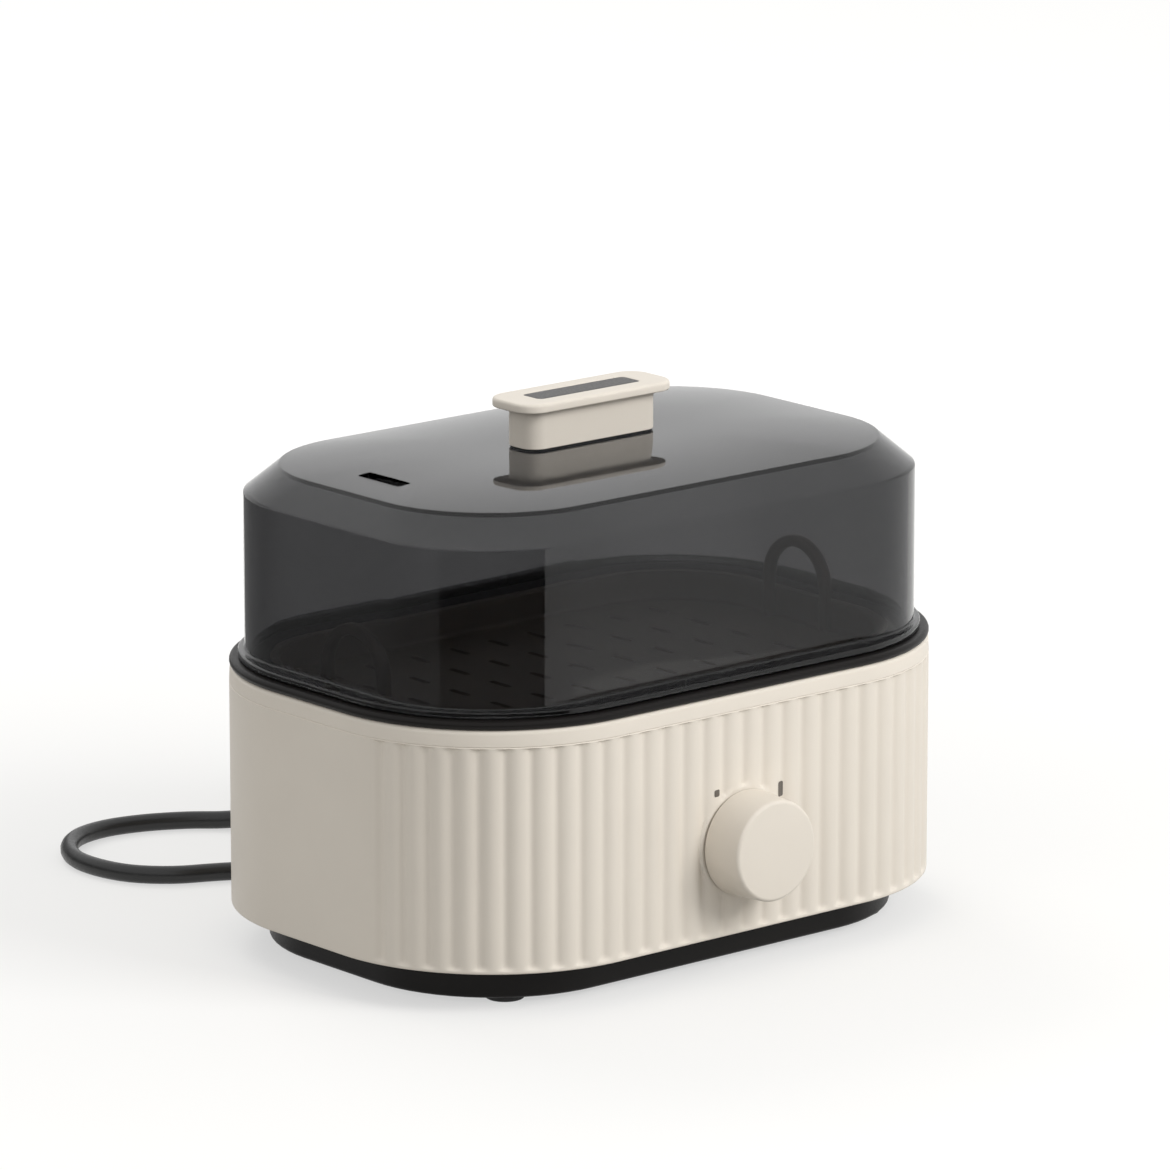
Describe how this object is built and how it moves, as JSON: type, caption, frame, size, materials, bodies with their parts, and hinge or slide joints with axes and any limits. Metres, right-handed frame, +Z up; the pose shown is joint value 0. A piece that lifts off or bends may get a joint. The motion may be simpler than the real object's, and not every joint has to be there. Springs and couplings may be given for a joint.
{
  "type": "electric egg cooker",
  "caption": "Countertop electric egg cooker: fluted rounded-rectangle casing with a timer knob, heated dish, lift-out slotted egg tray with finger loops, smoked clear lid with handle, mains lead.",
  "frame": {"origin": "on the table, at the middle of the object's footprint, where the four feet stand", "axes": "+Z up, +X to the right seen from the front, and the control knob faces -Y"},
  "size_m": [0.2483, 0.2946, 0.187],
  "materials": {
    "cream_plastic": "satin moulded polypropylene",
    "black_plastic": "satin moulded plastic",
    "tray_plastic": "satin moulded plastic",
    "smoked_clear": "clear smoked polycarbonate, polished",
    "black_rubber": "matt",
    "grey_silicone": "matt",
    "coated_aluminium": "non-stick coated",
    "element_steel": "dull",
    "zinc_steel": "zinc plated",
    "pin_brass": "plated",
    "white_ceramic": "fired ceramic",
    "wire_brown": "wire sheath",
    "wire_blue": "wire sheath"
  },
  "bodies": {
    "base": {"outer_casing": "cream_plastic", "trim_ring": "black_plastic", "dish_seal": "grey_silicone", "heating_dish": "coated_aluminium", "dish_screws": "zinc_steel", "heating_element": "element_steel", "element_terminals": "zinc_steel", "thermostat": "white_ceramic", "sensor_bracket": "zinc_steel", "bracket_screws": "zinc_steel", "thermal_fuse": "white_ceramic", "fuse_block": "white_ceramic", "timer_housing": "white_ceramic", "panel_nut": "zinc_steel", "base_pan": "black_plastic", "base_screws": "zinc_steel", "rubber_feet": "black_rubber", "terminal_block": "white_ceramic", "terminal_screw": "zinc_steel", "inner_lead": "black_rubber", "cord_clamp": "black_plastic", "clamp_screws": "zinc_steel", "live_wire": "wire_brown", "switched_wire": "wire_brown", "neutral_wire": "wire_blue", "strain_relief": "black_rubber", "cord_free": "black_rubber", "cord_coil": "black_rubber", "cord_tie": "black_plastic", "plug_body": "black_rubber", "plug_pins": "pin_brass"},
    "tray": {"egg_tray": "tray_plastic"},
    "lid": {"lid_shell": "smoked_clear", "lid_handle": "cream_plastic", "handle_inlay": "black_plastic", "handle_gasket": "black_rubber", "handle_screws": "zinc_steel"},
    "knob": {"control_knob": "cream_plastic", "control_spindle": "zinc_steel"}
  },
  "joints": [
    {"name": "tray_lift", "type": "slide", "parent": "base", "child": "tray", "axis": [0, 0, 1], "range_m": [0, 0.06]},
    {"name": "lid_lift", "type": "slide", "parent": "tray", "child": "lid", "axis": [0, 0, 1], "range_m": [0, 0.1]},
    {"name": "knob_turn", "type": "hinge", "parent": "base", "child": "knob", "pos_m": [0, -0.084, 0.0455], "axis": [0, 1, 0], "range_deg": [0, 270]}
  ]
}
